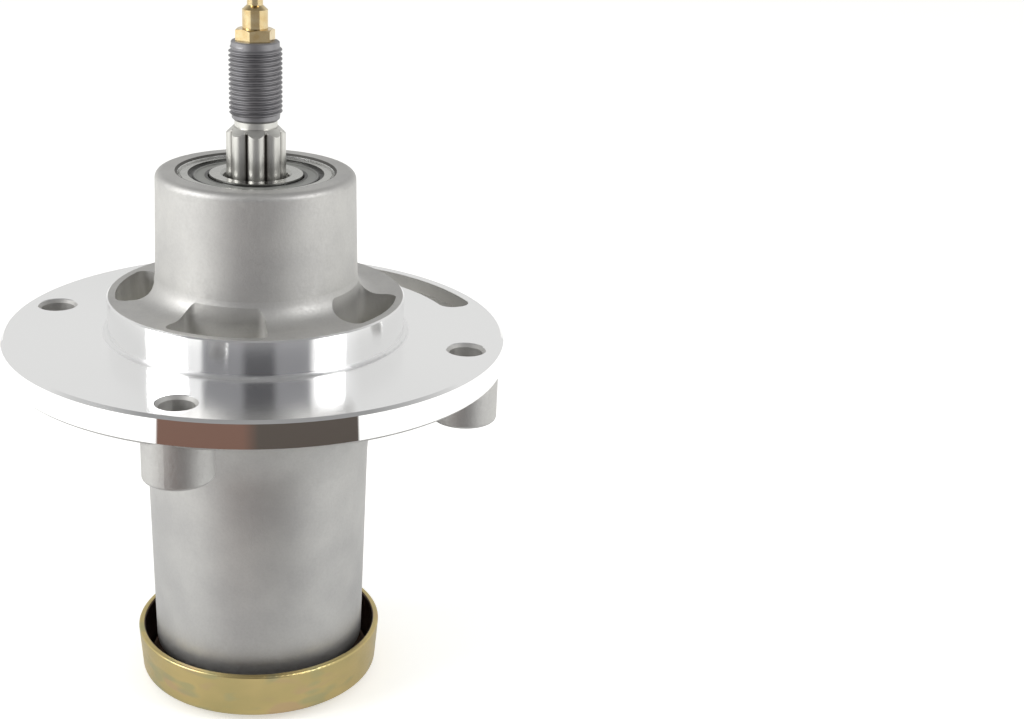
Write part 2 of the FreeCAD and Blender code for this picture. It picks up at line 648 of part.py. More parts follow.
def make_seal(name, base):
    body = new_body(name)
    inside = "worked.inner_ring_radius + sizes.seal_clearance"
    outside = "worked.outer_ring_radius + sizes.seal_groove"
    turned(body, "Revolution", "seal", [
        (inside, "0"),
        (outside, "0"),
        (outside, "sizes.seal_thickness"),
        (inside, "sizes.seal_thickness"),
    ])
    body.setExpression("Placement.Base.z", base)
    return body


def shape_part(name, shape, lift):
    part = doc.addObject("Part::Feature", name)
    part.Label = name
    part.Shape = shape
    part.Placement = Placement(Vector(0, 0, lift), Rotation())
    return part


def ball_places(offset=0.0):
    count = int(size("ball_count"))
    reach = place("ball_circle") / 2
    angles = [2 * math.pi * (step + offset) / count for step in range(count)]
    return [Vector(reach * math.cos(angle), reach * math.sin(angle), 0) for angle in angles]


def ball_group():
    radius = size("ball_diameter") / 2
    return Part.makeCompound([Part.makeSphere(radius, spot) for spot in ball_places()])


def cage_half():
    sheet = size("cage_sheet")
    inside = (place("ball_circle") - size("cage_width")) / 2
    outside = (place("ball_circle") + size("cage_width")) / 2
    hollow = size("ball_diameter") / 2 + size("ball_clearance")
    tall = hollow + sheet
    band = Part.makeCylinder(outside, tall).cut(Part.makeCylinder(inside, tall))
    domes = Part.makeCompound([Part.makeSphere(tall, spot) for spot in ball_places()]).common(band)
    strip = Part.makeCylinder(outside, sheet).cut(Part.makeCylinder(inside, sheet))
    half = strip.fuse(domes.Solids)
    half = half.cut([Part.makeSphere(hollow, spot) for spot in ball_places()])
    shank = size("rivet_diameter") / 2
    half = half.cut([Part.makeCylinder(shank, tall, spot) for spot in ball_places(0.5)])
    return half.removeSplitter()


def rivet(spot):
    sheet, rise = size("cage_sheet"), size("rivet_rise")
    shank, head = size("rivet_diameter") / 2, size("rivet_head") / 2
    low, high = spot - Vector(0, 0, sheet), spot + Vector(0, 0, sheet)
    pin = Part.makeCylinder(shank, 2 * sheet, low)
    top = Part.makeCone(head, shank, rise, high)
    bottom = Part.makeCone(head, shank, rise, low, Vector(0, 0, -1))
    return pin.fuse([top, bottom]).removeSplitter()


def make_bearing(prefix, base):
    outer = make_ring(prefix + "_outer_ring", base, "worked.outer_ring_radius",
                      "sizes.bearing_outside / 2", size("bearing_outside") / 2)
    seal_back = "(sizes.seal_depth + sizes.seal_thickness)"
    cut_seal_seat(outer, "bottom_seal_seat", "0", seal_back)
    cut_seal_seat(outer, "top_seal_seat", "sizes.bearing_width", "sizes.bearing_width - " + seal_back)
    inner = make_ring(prefix + "_inner_ring", base, "sizes.bearing_bore / 2",
                      "worked.inner_ring_radius", size("bearing_bore") / 2)
    top_seal = make_seal(prefix + "_top_seal", base + " + sizes.bearing_width - " + seal_back)
    bottom_seal = make_seal(prefix + "_bottom_seal", base + " + sizes.seal_depth")
    middle = inner.Placement.Base.z + size("bearing_width") / 2
    balls = shape_part(prefix + "_balls", ball_group(), middle)
    cage_top = shape_part(prefix + "_cage_top", cage_half(), middle)
    turned_over = cage_half().mirror(Vector(0, 0, 0), Vector(0, 0, 1))
    cage_bottom = shape_part(prefix + "_cage_bottom", turned_over, middle)
    pins = Part.makeCompound([rivet(spot) for spot in ball_places(0.5)])
    rivets = shape_part(prefix + "_cage_rivets", pins, middle)
    return [outer, inner, top_seal, bottom_seal, balls, cage_top, cage_bottom, rivets]


# Grease fitting with its check ball and spring

def make_fitting():
    body = new_body("grease_fitting")
    shank, barrel = "sizes.fitting_shank / 2", "sizes.fitting_barrel / 2"
    neck, mouth = "sizes.fitting_neck / 2", "sizes.fitting_mouth / 2"
    nipple, bevel = neck + " + sizes.nipple_lip", "sizes.fitting_bevel"
    turned(body, "Revolution", "fitting", [
        ("0", "worked.shank_end"),
        (shank + " - " + bevel, "worked.shank_end"),
        (shank, "worked.shank_end + " + bevel),
        (shank, "worked.shaft_top"),
        (barrel, "worked.shaft_top"),
        (barrel, "worked.barrel_top - sizes.fitting_shoulder"),
        (neck, "worked.barrel_top"),
        (neck, "worked.nipple_base"),
        (nipple, "worked.nipple_bottom"),
        (nipple, "worked.nipple_shoulder"),
        (mouth + " + sizes.nipple_rim", "worked.nipple_top"),
        ("0", "worked.nipple_top"),
    ])
    flat, corner = "sizes.fitting_hex / 2", "sizes.fitting_hex / sqrt(3)"
    hexagon = new_sketch(body, "hex_outline", "XY_Plane", "worked.shaft_top", "sizes.fitting_hex_turn")
    draw_outline(hexagon, [
        ("-" + corner, "0"),
        ("-" + corner + " / 2", "-" + flat),
        (corner + " / 2", "-" + flat),
        (corner, "0"),
        (corner + " / 2", flat),
        ("-" + corner + " / 2", flat),
    ])
    feature(body, "Pad", "hexagon", hexagon, Length="sizes.fitting_hex_height")
    turned(body, "Groove", "hex_bevel", [
        (flat, "worked.hex_top"),
        (flat + " + 2 * " + bevel, "worked.hex_top - " + bevel),
        (flat + " + 2 * " + bevel, "worked.hex_top"),
    ])
    turned(body, "Groove", "grease_bore", [
        ("0", "worked.shank_end"),
        (mouth, "worked.shank_end"),
        (mouth, "worked.chamber_floor"),
        ("sizes.fitting_bore / 2", "worked.chamber_floor"),
        ("sizes.fitting_bore / 2", "worked.chamber_top"),
        (mouth, "worked.nipple_top - sizes.mouth_land"),
        (mouth, "worked.nipple_top"),
        ("0", "worked.nipple_top"),
    ])
    return body


def make_check_ball():
    ball = doc.addObject("Part::Sphere", "check_ball")
    ball.Label = "check_ball"
    ball.setExpression("Radius", "worked.check_ball_radius")
    ball.setExpression("Placement.Base.z", "worked.check_ball_place")
    return ball


def make_check_spring():
    wire, gap = size("spring_wire") / 2, size("small_gap")
    reach = size("fitting_bore") / 2 - gap - wire
    base = place("chamber_floor") + gap + wire
    below_ball = math.sqrt((place("check_ball_radius") + gap + wire) ** 2 - reach ** 2)
    rise = place("check_ball_place") - below_ball - base
    helix = Part.makeHelix(rise / size("spring_turns"), rise, reach)
    section = Part.Wire(Part.makeCircle(wire, Vector(reach, 0, 0), Vector(0, 1, 0)))
    coil = Part.Wire(helix.Edges).makePipeShell([section], True, True)
    return shape_part("check_spring", coil, base)


# Build every piece, check it and write it

parts = [make_housing(), make_shaft(), make_spacer(), make_cup()]
parts += make_bearing("lower_bearing", "worked.lower_bearing")
parts += make_bearing("upper_bearing", "worked.upper_bearing")
parts += [make_fitting(), make_check_ball(), make_check_spring()]
doc.recompute()

for item in doc.Objects:
    if "Invalid" in item.State or "Error" in item.State:
        raise RuntimeError("%s failed: %s" % (item.Name, item.State))
for part in parts:
    if part.Shape.isNull() or not part.Shape.isValid():
        raise RuntimeError("%s has no valid shape" % part.Label)

os.makedirs("parts", exist_ok=True)
for part in parts:
    part.Shape.exportStep("parts/%s.step" % part.Label)
    print("%-28s %d solids, %.1f mm3" % (part.Label, len(part.Shape.Solids), part.Shape.Volume))
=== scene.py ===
import bmesh
import bpy
import json
import math
from mathutils import Matrix, Vector


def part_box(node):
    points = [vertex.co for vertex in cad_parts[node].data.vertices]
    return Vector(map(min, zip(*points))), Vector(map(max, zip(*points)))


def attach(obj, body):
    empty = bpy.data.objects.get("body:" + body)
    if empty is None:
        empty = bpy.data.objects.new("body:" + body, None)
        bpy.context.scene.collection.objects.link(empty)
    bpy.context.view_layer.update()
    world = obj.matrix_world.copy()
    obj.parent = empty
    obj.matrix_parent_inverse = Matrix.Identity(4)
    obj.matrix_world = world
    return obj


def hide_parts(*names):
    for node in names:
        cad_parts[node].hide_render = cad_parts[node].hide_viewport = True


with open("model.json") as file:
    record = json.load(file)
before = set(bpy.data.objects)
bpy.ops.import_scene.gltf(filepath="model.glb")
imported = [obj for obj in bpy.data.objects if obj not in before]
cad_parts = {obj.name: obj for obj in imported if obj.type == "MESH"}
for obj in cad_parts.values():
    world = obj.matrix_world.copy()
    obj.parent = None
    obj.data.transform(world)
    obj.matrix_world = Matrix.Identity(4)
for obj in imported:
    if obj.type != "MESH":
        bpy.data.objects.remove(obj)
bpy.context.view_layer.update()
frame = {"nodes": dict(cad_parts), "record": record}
print("frame loaded:", len(frame["nodes"]), "nodes")

mm = 0.001
noiseSpan = (0.32, 0.68)  # nearly all of a noise texture lies between these
ringDepth = 0.01  # mm, depth of a lathe's feed marks


# Small helpers for nodes and zones

def linear(hexColour):
    parts = [int(hexColour[start:start + 2], 16) / 255 for start in (1, 3, 5)]
    parts = [part / 12.92 if part <= 0.04045 else ((part + 0.055) / 1.055) ** 2.4
             for part in parts]
    return (parts[0], parts[1], parts[2], 1.0)


def addNode(tree, kind, settings=None, sockets=None, out=0):
    # returns one output, or the node itself where out is None
    node = tree.nodes.new("ShaderNode" + kind)
    for name, value in (settings or {}).items():
        setattr(node, name, value)
    for name, value in (sockets or {}).items():
        if isinstance(value, bpy.types.NodeSocket):
            tree.links.new(value, node.inputs[name])
        else:
            node.inputs[name].default_value = linear(value) if isinstance(value, str) else value
    return node if out is None else node.outputs[out]


def patches(tree, place, size, low, high, detail=3.0, stretch=(1, 1, 1)):
    # cloudy patches of about this many millimetres, spread over the range from low to high
    stretched = addNode(tree, "Mapping", {}, {"Vector": place, "Scale": stretch})
    cloud = addNode(tree, "TexNoise", {},
                    {"Vector": stretched, "Scale": 1 / (size * mm), "Detail": detail}, "Fac")
    return addNode(tree, "MapRange", {},
                   {"Value": cloud, "From Min": noiseSpan[0], "From Max": noiseSpan[1],
                    "To Min": low, "To Max": high})


def layCoats(tree, colour, *coats):
    # colours laid one over another, each with the share that it covers
    for share, coat in coats:
        colour = addNode(tree, "Mix", {"data_type": "RGBA"}, {0: share, 6: colour, 7: coat}, 2)
    return colour


def inZones(tree, radius, height, *zones):
    # 1 inside any of the zones, which give their limits in millimetres, else 0
    found = 0.0
    for zone in zones:
        inside = 1.0
        for name, value in (("height", height), ("radius", radius)):
            for operation, edge in zip(("GREATER_THAN", "LESS_THAN"), zone.get(name, ())):
                side = addNode(tree, "Math", {"operation": operation}, {0: value, 1: edge * mm})
                inside = addNode(tree, "Math", {"operation": "MULTIPLY"}, {0: inside, 1: side})
        found = addNode(tree, "Math", {"operation": "MAXIMUM"}, {0: found, 1: inside})
    return found


def toolRings(tree, radius, height, pitch, strength):
    # feed marks of the lathe: rings on flat faces and on round ones alike
    along = addNode(tree, "Math", {"operation": "ADD"}, {0: radius, 1: height})
    turns = addNode(tree, "Math", {"operation": "MULTIPLY"},
                    {0: along, 1: 2 * math.pi / (pitch * mm)})
    wave = addNode(tree, "Math", {"operation": "SINE"}, {0: turns})
    return addNode(tree, "Bump", {},
                   {"Strength": strength, "Distance": ringDepth * mm, "Height": wave})


def startMaterial(name):
    material = bpy.data.materials.new(name)
    material.use_nodes = True
    tree = material.node_tree
    tree.nodes.clear()
    place = addNode(tree, "TexCoord", out="Object")
    flat = addNode(tree, "VectorMath", {"operation": "MULTIPLY"}, {0: place, 1: (1, 1, 0)})
    radius = addNode(tree, "VectorMath", {"operation": "LENGTH"}, {0: flat}, "Value")
    height = addNode(tree, "SeparateXYZ", {}, {0: place}, "Z")
    return material, tree, place, radius, height


def finishMaterial(tree, colour, roughness, normal, **others):
    # Principled shader; others are further sockets by name, with _ for a space
    sockets = {"Base Color": colour, "Roughness": roughness, "Normal": normal, "Metallic": 1.0}
    sockets.update({name.replace("_", " "): value for name, value in others.items()})
    shader = addNode(tree, "BsdfPrincipled", {}, sockets)
    addNode(tree, "OutputMaterial", {}, {"Surface": shader}, None)


# Finishes

# parts of the casting that were turned or cored, and the bore's mouth with its painted shade, by
# height and radius in mm
castingZones = {
    "step": {"height": (119.8, 132.0), "radius": (45.25, 77.3)},  # deck face and pilot
    "foot": {"height": (119.9, 121.5), "radius": (45.75, 47.3)},  # round foot of the pilot
    "rim": {"height": (111.7, 120.0), "radius": (76.35, 78.3)},
    "seats": {"radius": (-1, 23.55)},  # bores of the two bearings and between them
    # the bore's mouth, coloured dark as painted shade where the bore meets the bearing
    "mouth": {"height": (168.0, 175.0), "radius": (23.55, 24.3)},
}
# walls and floors of the cored pockets and of the crescent, and the height where they start
coredZones = (
    (131.5, {"height": (118.7, 132.5), "radius": (23.5, 43.3)}),
    (120.0, {"height": (115.1, 121.0), "radius": (62.9, 73.8)}),
)
# the dark mouth colour is painted shade where the bore meets the bearing
aluminiumFinish = {
    "castLight": "#D0CFCC", "castDark": "#C5C4C2", "castRough": (0.5, 0.62),
    # the cored colour is painted light, lighter than the cast skin, against the shade in the
    # pockets
    "mouth": "#6C6B68", "coredPaintedLightAndDull": "#EAE9E5", "coredRough": 0.85, "coredDepth": 9.0,
    "turned": "#F8F8F8", "turnedRough": 0.14, "rimRough": 0.045, "footRough": 0.34,
    "grain": 0.8, "grainDepth": 0.1, "grainStrength": 0.16, "cloud": 14.0, "detail": 4.0,
    "feed": 0.5, "feedStrength": 0.02, "spreadTurn": 0.25,
}


def makeCastAluminium():
    # pressure die-cast aluminium: satin skin with a fine grain, mirror bright where it was turned;
    # painted shade at the bore's mouth and painted light on the cored walls
    finish = aluminiumFinish
    material, tree, place, radius, height = startMaterial("die_cast_aluminium")
    step, foot, rim, seats, mouth = (
        inZones(tree, radius, height, castingZones[name])
        for name in ("step", "foot", "rim", "seats", "mouth"))
    turned = addNode(tree, "Math", {"operation": "MAXIMUM"}, {0: step, 1: rim})
    turned = addNode(tree, "Math", {"operation": "MAXIMUM"}, {0: turned, 1: seats})
    coredPaintedLightAndDull = 0.0  # the cored walls are duller and painted lighter, as painted light against the shade in the pockets, the more so the deeper
    for top, zone in coredZones:
        depth = addNode(tree, "MapRange", {},
                        {"Value": height, "From Min": top * mm,
                         "From Max": (top - finish["coredDepth"]) * mm})
        depth = addNode(tree, "Math", {"operation": "MULTIPLY"},
                        {0: depth, 1: inZones(tree, radius, height, zone)})
        coredPaintedLightAndDull = addNode(tree, "Math", {"operation": "MAXIMUM"}, {0: depth, 1: coredPaintedLightAndDull})
    cloud = patches(tree, place, finish["cloud"], 0, 1, finish["detail"])
    # the mouth coat is painted shade; the cored coat is painted light
    colour = layCoats(tree, finish["castDark"], (cloud, finish["castLight"]),
                      (coredPaintedLightAndDull, finish["coredPaintedLightAndDull"]), (mouth, finish["mouth"]),
                      (turned, finish["turned"]))
    castRough = addNode(tree, "Mix", {},
                        {0: coredPaintedLightAndDull, 2: patches(tree, place, finish["grain"], *finish["castRough"]),
                         3: finish["coredRough"]})
    turnedRough = addNode(tree, "Mix", {},
                          {0: rim, 2: finish["turnedRough"], 3: finish["rimRough"]})
    turnedRough = addNode(tree, "Mix", {}, {0: foot, 2: turnedRough, 3: finish["footRough"]})
    roughness = addNode(tree, "Mix", {}, {0: turned, 2: castRough, 3: turnedRough})
    grain = patches(tree, place, finish["grain"], 0, 1, finish["detail"])
    skin = addNode(tree, "Bump", {},
                   {"Strength": finish["grainStrength"], "Distance": finish["grainDepth"] * mm,
                    "Height": grain})
    feed = toolRings(tree, radius, height, finish["feed"], finish["feedStrength"])
    normal = addNode(tree, "Mix", {"data_type": "VECTOR"}, {0: turned, 4: skin, 5: feed}, 1)
    # the fine grooves left by the lathe spread what they mirror across themselves only
    around = addNode(tree, "Tangent", {"direction_type": "RADIAL", "axis": "Z"})
    finishMaterial(tree, colour, roughness, normal, Anisotropic=turned,
                   Anisotropic_Rotation=finish["spreadTurn"], Tangent=around)
    return material


# parts of the shaft, by height and radius in mm
shaftZones = {
    "journal": {"height": (9.2, 166.7)},
    "spline": {"height": (166.7, 182.6)},
    "neck": {"height": (182.6, 185.75)},
    "thread": {"height": (185.75, 210.0)},
    "star": {"height": (-1, 5.0), "radius": (-1, 15.4)},
    "recessFloor": {"height": (5.0, 5.8), "radius": (-1, 18.25)},
    "recessWall": {"height": (2.3, 5.4), "radius": (15.4, 18.25)},
}
steelFinish = {
    "head": "#9C9C9D", "stained": "#8E8D90", "thread": "#A4A3A5", "threadDark": "#908F92",
    # on the spline, the root colour is painted shade and the crest colour painted highlight
    "crest": "#D4D3CE", "root": "#4A4540", "crestRadius": 8.3, "rootRadius": 7.25,
    "journal": "#B8B7B5", "recess": "#464646", "star": "#A9A9A6", "stain": 6.0, "detail": 4.0,
    "rough": (0.28, 0.42), "threadRough": 0.52, "feed": 0.5, "feedStrength": 0.25,
}


def makeTurnedSteel():
    # carbon steel, forged and then turned: grey and lightly oiled, with tool rings on the head;
    # painted shade in the spline's roots and painted highlight on its crests and neck
    finish = steelFinish
    material, tree, place, radius, height = startMaterial("turned_carbon_steel")
    stain = patches(tree, place, finish["stain"], 0, 1, finish["detail"])
    # from the spline's roots to its crests: dark as painted shade, light as painted highlight
    depth = addNode(tree, "MapRange", {},
                    {"Value": radius, "From Min": finish["rootRadius"] * mm,
                     "From Max": finish["crestRadius"] * mm})
    zoneColours = {
        ("journal",): finish["journal"],
        ("spline",): layCoats(tree, finish["root"], (depth, finish["crest"])),
        # the neck takes the light crest colour as painted highlight
        ("neck",): finish["crest"],
        ("thread",): layCoats(tree, finish["thread"], (stain, finish["threadDark"])),
        ("star",): finish["star"],
        ("recessFloor", "recessWall"): finish["recess"],
    }
    coats = [(inZones(tree, radius, height, *(shaftZones[name] for name in names)), coat)
             for names, coat in zoneColours.items()]
    colour = layCoats(tree, finish["head"], (stain, finish["stained"]), *coats)
    roughness = addNode(tree, "Mix", {},
                        {0: inZones(tree, radius, height, shaftZones["thread"]),
                         2: patches(tree, place, finish["stain"], *finish["rough"]),
                         3: finish["threadRough"]})
    rings = toolRings(tree, radius, height, finish["feed"], finish["feedStrength"])
    finishMaterial(tree, colour, roughness, rings)
    return material


zincFinish = {
    "straw": "#D3BE84", "olive": "#C2B27C", "cloud": 20.0, "detail": 2.0, "flat": 1.8,
    # colour, size of its clouds in mm, share from and to, and how flat they lie
    "tints": (("#CBAC8A", 14.0, (-1.2, 0.6), 2.4), ("#B0AF86", 12.0, (0.6, -1.2), 2.8)),
    "tintDetail": 1.0,
    # the dark inside colour is painted shade in the cup round the housing
    "inside": "#54443A", "insideShadeZone": {"height": (4.2, 20.0), "radius": (-1, 37.9)},
    "grain": 0.8, "grainDepth": 0.05, "grainStrength": 0.08, "rough": (0.28, 0.38),
}


def makeYellowZinc():
    # zinc plate with a yellow chromate film: straw gold that drifts to pink and green, dark inside
    # the cup as painted shade
    finish = zincFinish
    material, tree, place, radius, height = startMaterial("yellow_zinc_plate")
    cloud = patches(tree, place, finish["cloud"], 0, 1, finish["detail"], (1, 1, finish["flat"]))
    coats = [(cloud, finish["straw"])]
    for tint, size, (low, high), flat in finish["tints"]:
        share = patches(tree, place, size, low, high, finish["tintDetail"], (1, 1, flat))
        coats.append((share, tint))
    # painted shade inside the cup
    coats.append((inZones(tree, radius, height, finish["insideShadeZone"]), finish["inside"]))
    grain = patches(tree, place, finish["grain"], 0, 1)
    bump = addNode(tree, "Bump", {},
                   {"Strength": finish["grainStrength"], "Distance": finish["grainDepth"] * mm,
                    "Height": grain})
    roughness = patches(tree, place, finish["grain"], *finish["rough"])
    finishMaterial(tree, layCoats(tree, finish["olive"], *coats), roughness, bump)
    return material


brassFinish = {"dark": "#D2B784", "light": "#E2CFA4", "film": 2.5, "rough": (0.12, 0.2),
               "feed": 0.3, "feedStrength": 0.08}


def makeTurnedBrass():
    # turned brass, bright: pale gold with tool rings and a thin film
    finish = brassFinish
    material, tree, place, radius, height = startMaterial("turned_brass")
    film = patches(tree, place, finish["film"], 0, 1)
    colour = layCoats(tree, finish["dark"], (film, finish["light"]))
    roughness = patches(tree, place, finish["film"], *finish["rough"])
    rings = toolRings(tree, radius, height, finish["feed"], finish["feedStrength"])
    finishMaterial(tree, colour, roughness, rings)
    return material


bearingFinish = {
    "dark": "#A9A9A5", "light": "#BFBFBB", "film": 5.0, "rough": (0.18, 0.3),
    "feed": 0.3, "feedStrength": 0.08,  # real grinding lines are finer; drawn coarse to show
}


def makeBearingSteel():
    # through-hardened bearing steel: ground faces, polished tracks
    finish = bearingFinish
    material, tree, place, radius, height = startMaterial("ground_bearing_steel")
    film = patches(tree, place, finish["film"], 0, 1)
    colour = layCoats(tree, finish["dark"], (film, finish["light"]))
    roughness = patches(tree, place, finish["film"], *finish["rough"])
    rings = toolRings(tree, radius, height, finish["feed"], finish["feedStrength"])
    finishMaterial(tree, colour, roughness, rings)
    return material


sheetFinish = {"dark": "#A2A3A5", "light": "#B6B7B8", "film": 1.2, "filmDepth": 0.03,
               "filmStrength": 0.15, "rough": (0.34, 0.46)}


def makeCageSheet():
    # pressed low-carbon steel sheet, dull from tumbling
    finish = sheetFinish
    material, tree, place, radius, height = startMaterial("pressed_steel_sheet")
    film = patches(tree, place, finish["film"], 0, 1)
    colour = layCoats(tree, finish["dark"], (film, finish["light"]))
    bump = addNode(tree, "Bump", {},
                   {"Strength": finish["filmStrength"], "Distance": finish["filmDepth"] * mm,
                    "Height": film})
    finishMaterial(tree, colour, patches(tree, place, finish["film"], *finish["rough"]), bump)
    return material


rubberFinish = {
    "face": "#8B8C87", "faceDark": "#7A7B77", "film": 1.5, "filmDepth": 0.03,
    # the black edge colour is painted shade at the lip and round the outer edge
    "filmStrength": 0.15, "rough": (0.32, 0.44), "edge": "#2E2E2C",
    "edgeShadeZones": ({"radius": (18.7, 30.0)}, {"radius": (-1, 15.5)}),
}


def makeSealRubber():
    # moulded nitrile rubber: mid grey and slightly glossy, with painted shade, near black, at its
    # lip and round its edge
    finish = rubberFinish
    material, tree, place, radius, height = startMaterial("moulded_nitrile_rubber")
    film = patches(tree, place, finish["film"], 0, 1)
    # painted shade at the lip and round the outer edge
    edge = inZones(tree, radius, height, *finish["edgeShadeZones"])
    colour = layCoats(tree, finish["faceDark"], (film, finish["face"]), (edge, finish["edge"]))
    bump = addNode(tree, "Bump", {},
                   {"Strength": finish["filmStrength"], "Distance": finish["filmDepth"] * mm,
                    "Height": film})
    finishMaterial(tree, colour, patches(tree, place, finish["film"], *finish["rough"]), bump,
                   Metallic=0.0, IOR=1.52)
    return material


finishes = {
    "cast_aluminium": makeCastAluminium(),
    "forged_steel": makeTurnedSteel(),
    "yellow_zinc": makeYellowZinc(),
    "plated_brass": makeTurnedBrass(),
    "bearing_steel": makeBearingSteel(),
    "cage_sheet": makeCageSheet(),
    "seal_rubber": makeSealRubber(),
}

for row in frame["record"]["subparts"]:
    mesh = frame["nodes"][row["node"]].data
    mesh.materials.clear()
    mesh.materials.append(finishes[row["material_slot"]])
print("finishes on the frame's nodes:", len(finishes))


# New pieces

sharpAngle = math.radians(30)  # edges that turn more than this stay sharp
roundSteps = 128  # faces round a full spin
weldGap, frameWeldGap = 0.001, 0.002  # mm, nearer vertices become one


def evenNormals(mesh):
    # corner normals weighted by face area, so that a flat face stays flat beside its rounds
    bm = bmesh.new()
    bm.from_mesh(mesh)
    limit = math.cos(sharpAngle)
    normals = []
    for face in bm.faces:
        for vert in face.verts:
            near = [other for other in vert.link_faces if other.normal.dot(face.normal) > limit]
            total = sum((other.normal * other.calc_area() for other in near), Vector())
            normals.append(total.normalized())
    bm.free()
    mesh.normals_split_custom_set(normals)


def addPiece(name, bm, body, slotName, replaced=()):
    mesh = bpy.data.meshes.new(name)
    bm.to_mesh(mesh)
    bm.free()
    mesh.shade_smooth()
    mesh.set_sharp_from_angle(angle=sharpAngle)
    evenNormals(mesh)
    mesh.materials.append(finishes[slotName])
    piece = bpy.data.objects.new(name, mesh)
    bpy.context.scene.collection.objects.link(piece)
    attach(piece, body)
    if replaced:
        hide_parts(*replaced)


def startLoop(corners, raised=0.0):
    # closed outline in the XZ plane: distance from the axis and height, both in mm
    bm = bmesh.new()
    ring = [bm.verts.new((across * mm, 0, (raised + up) * mm)) for across, up in corners]
    for first, second in zip(ring, ring[1:] + ring[:1]):
        bm.edges.new((first, second))
    return bm


def fullSpin(corners):
    bm = startLoop(corners)
    bmesh.ops.spin(bm, geom=bm.verts[:] + bm.edges[:], cent=(0, 0, 0), axis=(0, 0, 1),
                   angle=2 * math.pi, steps=roundSteps, use_merge=True, use_duplicate=False)
    bmesh.ops.remove_doubles(bm, verts=bm.verts, dist=weldGap * mm)
    bmesh.ops.recalc_face_normals(bm, faces=bm.faces)
    return bm


# 5/8-18 and 1/2-20 threads in mm; low and high are where the solids' plain cylinders end
pulleyThread = {
    "pitch": 1.411, "crest": 7.9375, "root": 7.18, "crestFlat": 0.25, "rootWidth": 1.2,
    "runout": 0.9, "low": 185.7, "high": 209.4, "inset": 1.5,
    "neck": 6.4375, "tip": 6.8375,  # radii at the ends of the threaded length
    "core": 6.2, "coreGap": 0.15, "coreInset": 0.6,  # core of the shaft inside the root
}
boltThread = {
    "pitch": 1.27, "crest": 5.65, "root": 6.3, "crestFlat": 0.2, "rootWidth": 1.05,
    "runout": 0.9, "low": 1.3, "high": 31.0, "blindEnd": 33.0,
}
threadCut = {"turnSteps": 48, "sunk": 0.1, "least": 0.02, "crestSlack": 0.01, "cylinderSlack": 0.02}


def helix(sizes, low, high):
    # one closed ridge from low to high, which rises out of the root and sinks into it again
    root, crest, turnSteps = sizes["root"], sizes["crest"], threadCut["turnSteps"]
    half, flat = sizes["rootWidth"] / 2, sizes["crestFlat"] / 2
    under = root + (threadCut["sunk"] if root > crest else -threadCut["sunk"])
    bm = startLoop([(under, -half), (root, -half), (crest, -flat), (crest, flat), (root, half),
                    (under, half)], low)
    steps = round((high - low) / sizes["pitch"] * turnSteps)
    rise = (high - low) * mm / steps
    bmesh.ops.spin(bm, geom=bm.verts[:] + bm.edges[:], cent=(0, 0, 0), axis=(0, 0, 1),
                   dvec=(0, 0, rise), angle=2 * math.pi * steps / turnSteps, steps=steps,
                   use_merge=False, use_duplicate=False)
    bmesh.ops.holes_fill(bm, edges=[edge for edge in bm.edges if edge.is_boundary], sides=0)
    bmesh.ops.recalc_face_normals(bm, faces=bm.faces)
    for vert in bm.verts:
        reach, height = math.hypot(vert.co.x, vert.co.y) / mm, vert.co.z / mm
        if abs(reach - crest) > threadCut["crestSlack"]:
            continue
        fade = min(1, (height - low) / sizes["runout"], (high - height) / sizes["runout"])
        factor = (root + (crest - root) * max(fade, threadCut["least"])) / reach
        vert.co.x *= factor
        vert.co.y *= factor
    return bm


def makeShaft():
    # the shaft with its bolt hole opened to the thread's root and its end taken back to a core
    bm = bmesh.new()
    bm.from_mesh(frame["nodes"]["spindle_shaft"].data)
    bmesh.ops.remove_doubles(bm, verts=bm.verts, dist=frameWeldGap * mm)
    bmesh.ops.recalc_face_normals(bm, faces=bm.faces)
    outer, inner, slack = pulleyThread, boltThread, threadCut["cylinderSlack"]
    for vert in bm.verts:
        reach, height = math.hypot(vert.co.x, vert.co.y) / mm, vert.co.z / mm
        if abs(reach - outer["crest"]) < slack and height > outer["low"]:
            factor = outer["core"] / reach
        elif abs(reach - inner["crest"]) < slack and height < inner["blindEnd"]:
            if height < inner["high"] / 2:
                height += inner["crest"] - inner["root"]  # keeps the slope of the hole's mouth
            factor = inner["root"] / reach
        else:
            continue
        vert.co = Vector((vert.co.x * factor, vert.co.y * factor, height * mm))
    addPiece("threaded_shaft", bm, "spindle", "forged_steel", ["spindle_shaft"])


def makeThreadRoot(sizes):
    # smooth root of the outer thread round the core, bevelled at both ends
    low, high, root, neck, tip = (sizes[name] for name in ("low", "high", "root", "neck", "tip"))
    inside, inset = sizes["core"] + sizes["coreGap"], sizes["coreInset"]
    corners = [(neck, low), (root, low + root - neck), (root, high - root + tip), (tip, high),
               (inside, high - inset), (inside, low + inset)]
    addPiece("pulley_thread_root", fullSpin(corners), "spindle", "forged_steel")


makeShaft()
makeThreadRoot(pulleyThread)
addPiece("pulley_thread",
         helix(pulleyThread, pulleyThread["low"] + pulleyThread["inset"],
               pulleyThread["high"] - pulleyThread["inset"]), "spindle", "forged_steel")
addPiece("blade_bolt_thread", helix(boltThread, boltThread["low"], boltThread["high"]),
         "spindle", "forged_steel")
print("shaft threads made")


# outer face of a seal: distance from its inner edge and depth below the face, both in mm
sealFace = [(0.0, 0.34), (0.25, 0.12), (0.7, 0.05), (1.1, 0.12), (1.25, 0.32), (1.45, 0.4),
            (3.6, 0.4), (3.85, 0.3), (4.05, 0.06), (4.4, 0.0), (4.7, 0.05), (4.85, 0.35),
            (6.0, 0.4), (6.1, 0.3)]


